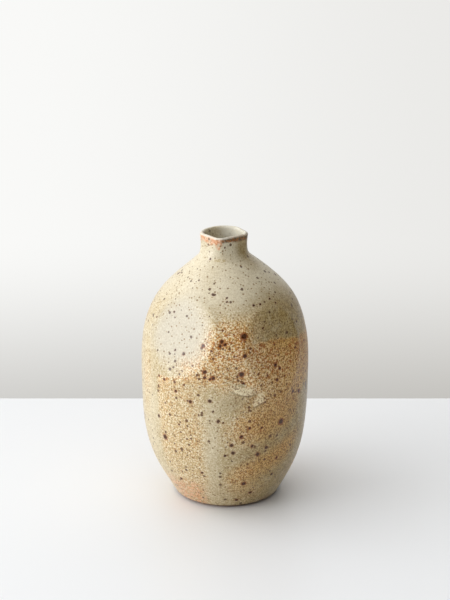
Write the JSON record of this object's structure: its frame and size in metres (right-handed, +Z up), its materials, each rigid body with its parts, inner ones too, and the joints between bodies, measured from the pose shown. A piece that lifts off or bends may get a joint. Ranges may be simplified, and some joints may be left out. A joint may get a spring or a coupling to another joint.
{
  "type": "stoneware bottle vase",
  "caption": "Small barrel-shaped stoneware bottle vase with a short pinched neck, pressed flats on its front, and speckled oatmeal and orange glaze.",
  "frame": {"origin": "centre of the foot's resting face, on the surface that the vase stands on", "axes": "+Z up through the neck, -Y towards the front, +X to the right seen from the front"},
  "size_m": [0.104, 0.1041, 0.17],
  "materials": {
    "stoneware_clay": "bare fired stoneware, toasted brown, matt",
    "outer_glaze": "satin oatmeal glaze with orange flashing and iron speckle",
    "liner_glaze": "satin grey-white glaze"
  },
  "bodies": {
    "root": {"floor_slab": "stoneware_clay", "lower_wall": "stoneware_clay", "upper_wall": "stoneware_clay", "neck_collar": "stoneware_clay", "outer_glaze": "outer_glaze", "liner_glaze": "liner_glaze"}
  },
  "joints": []
}
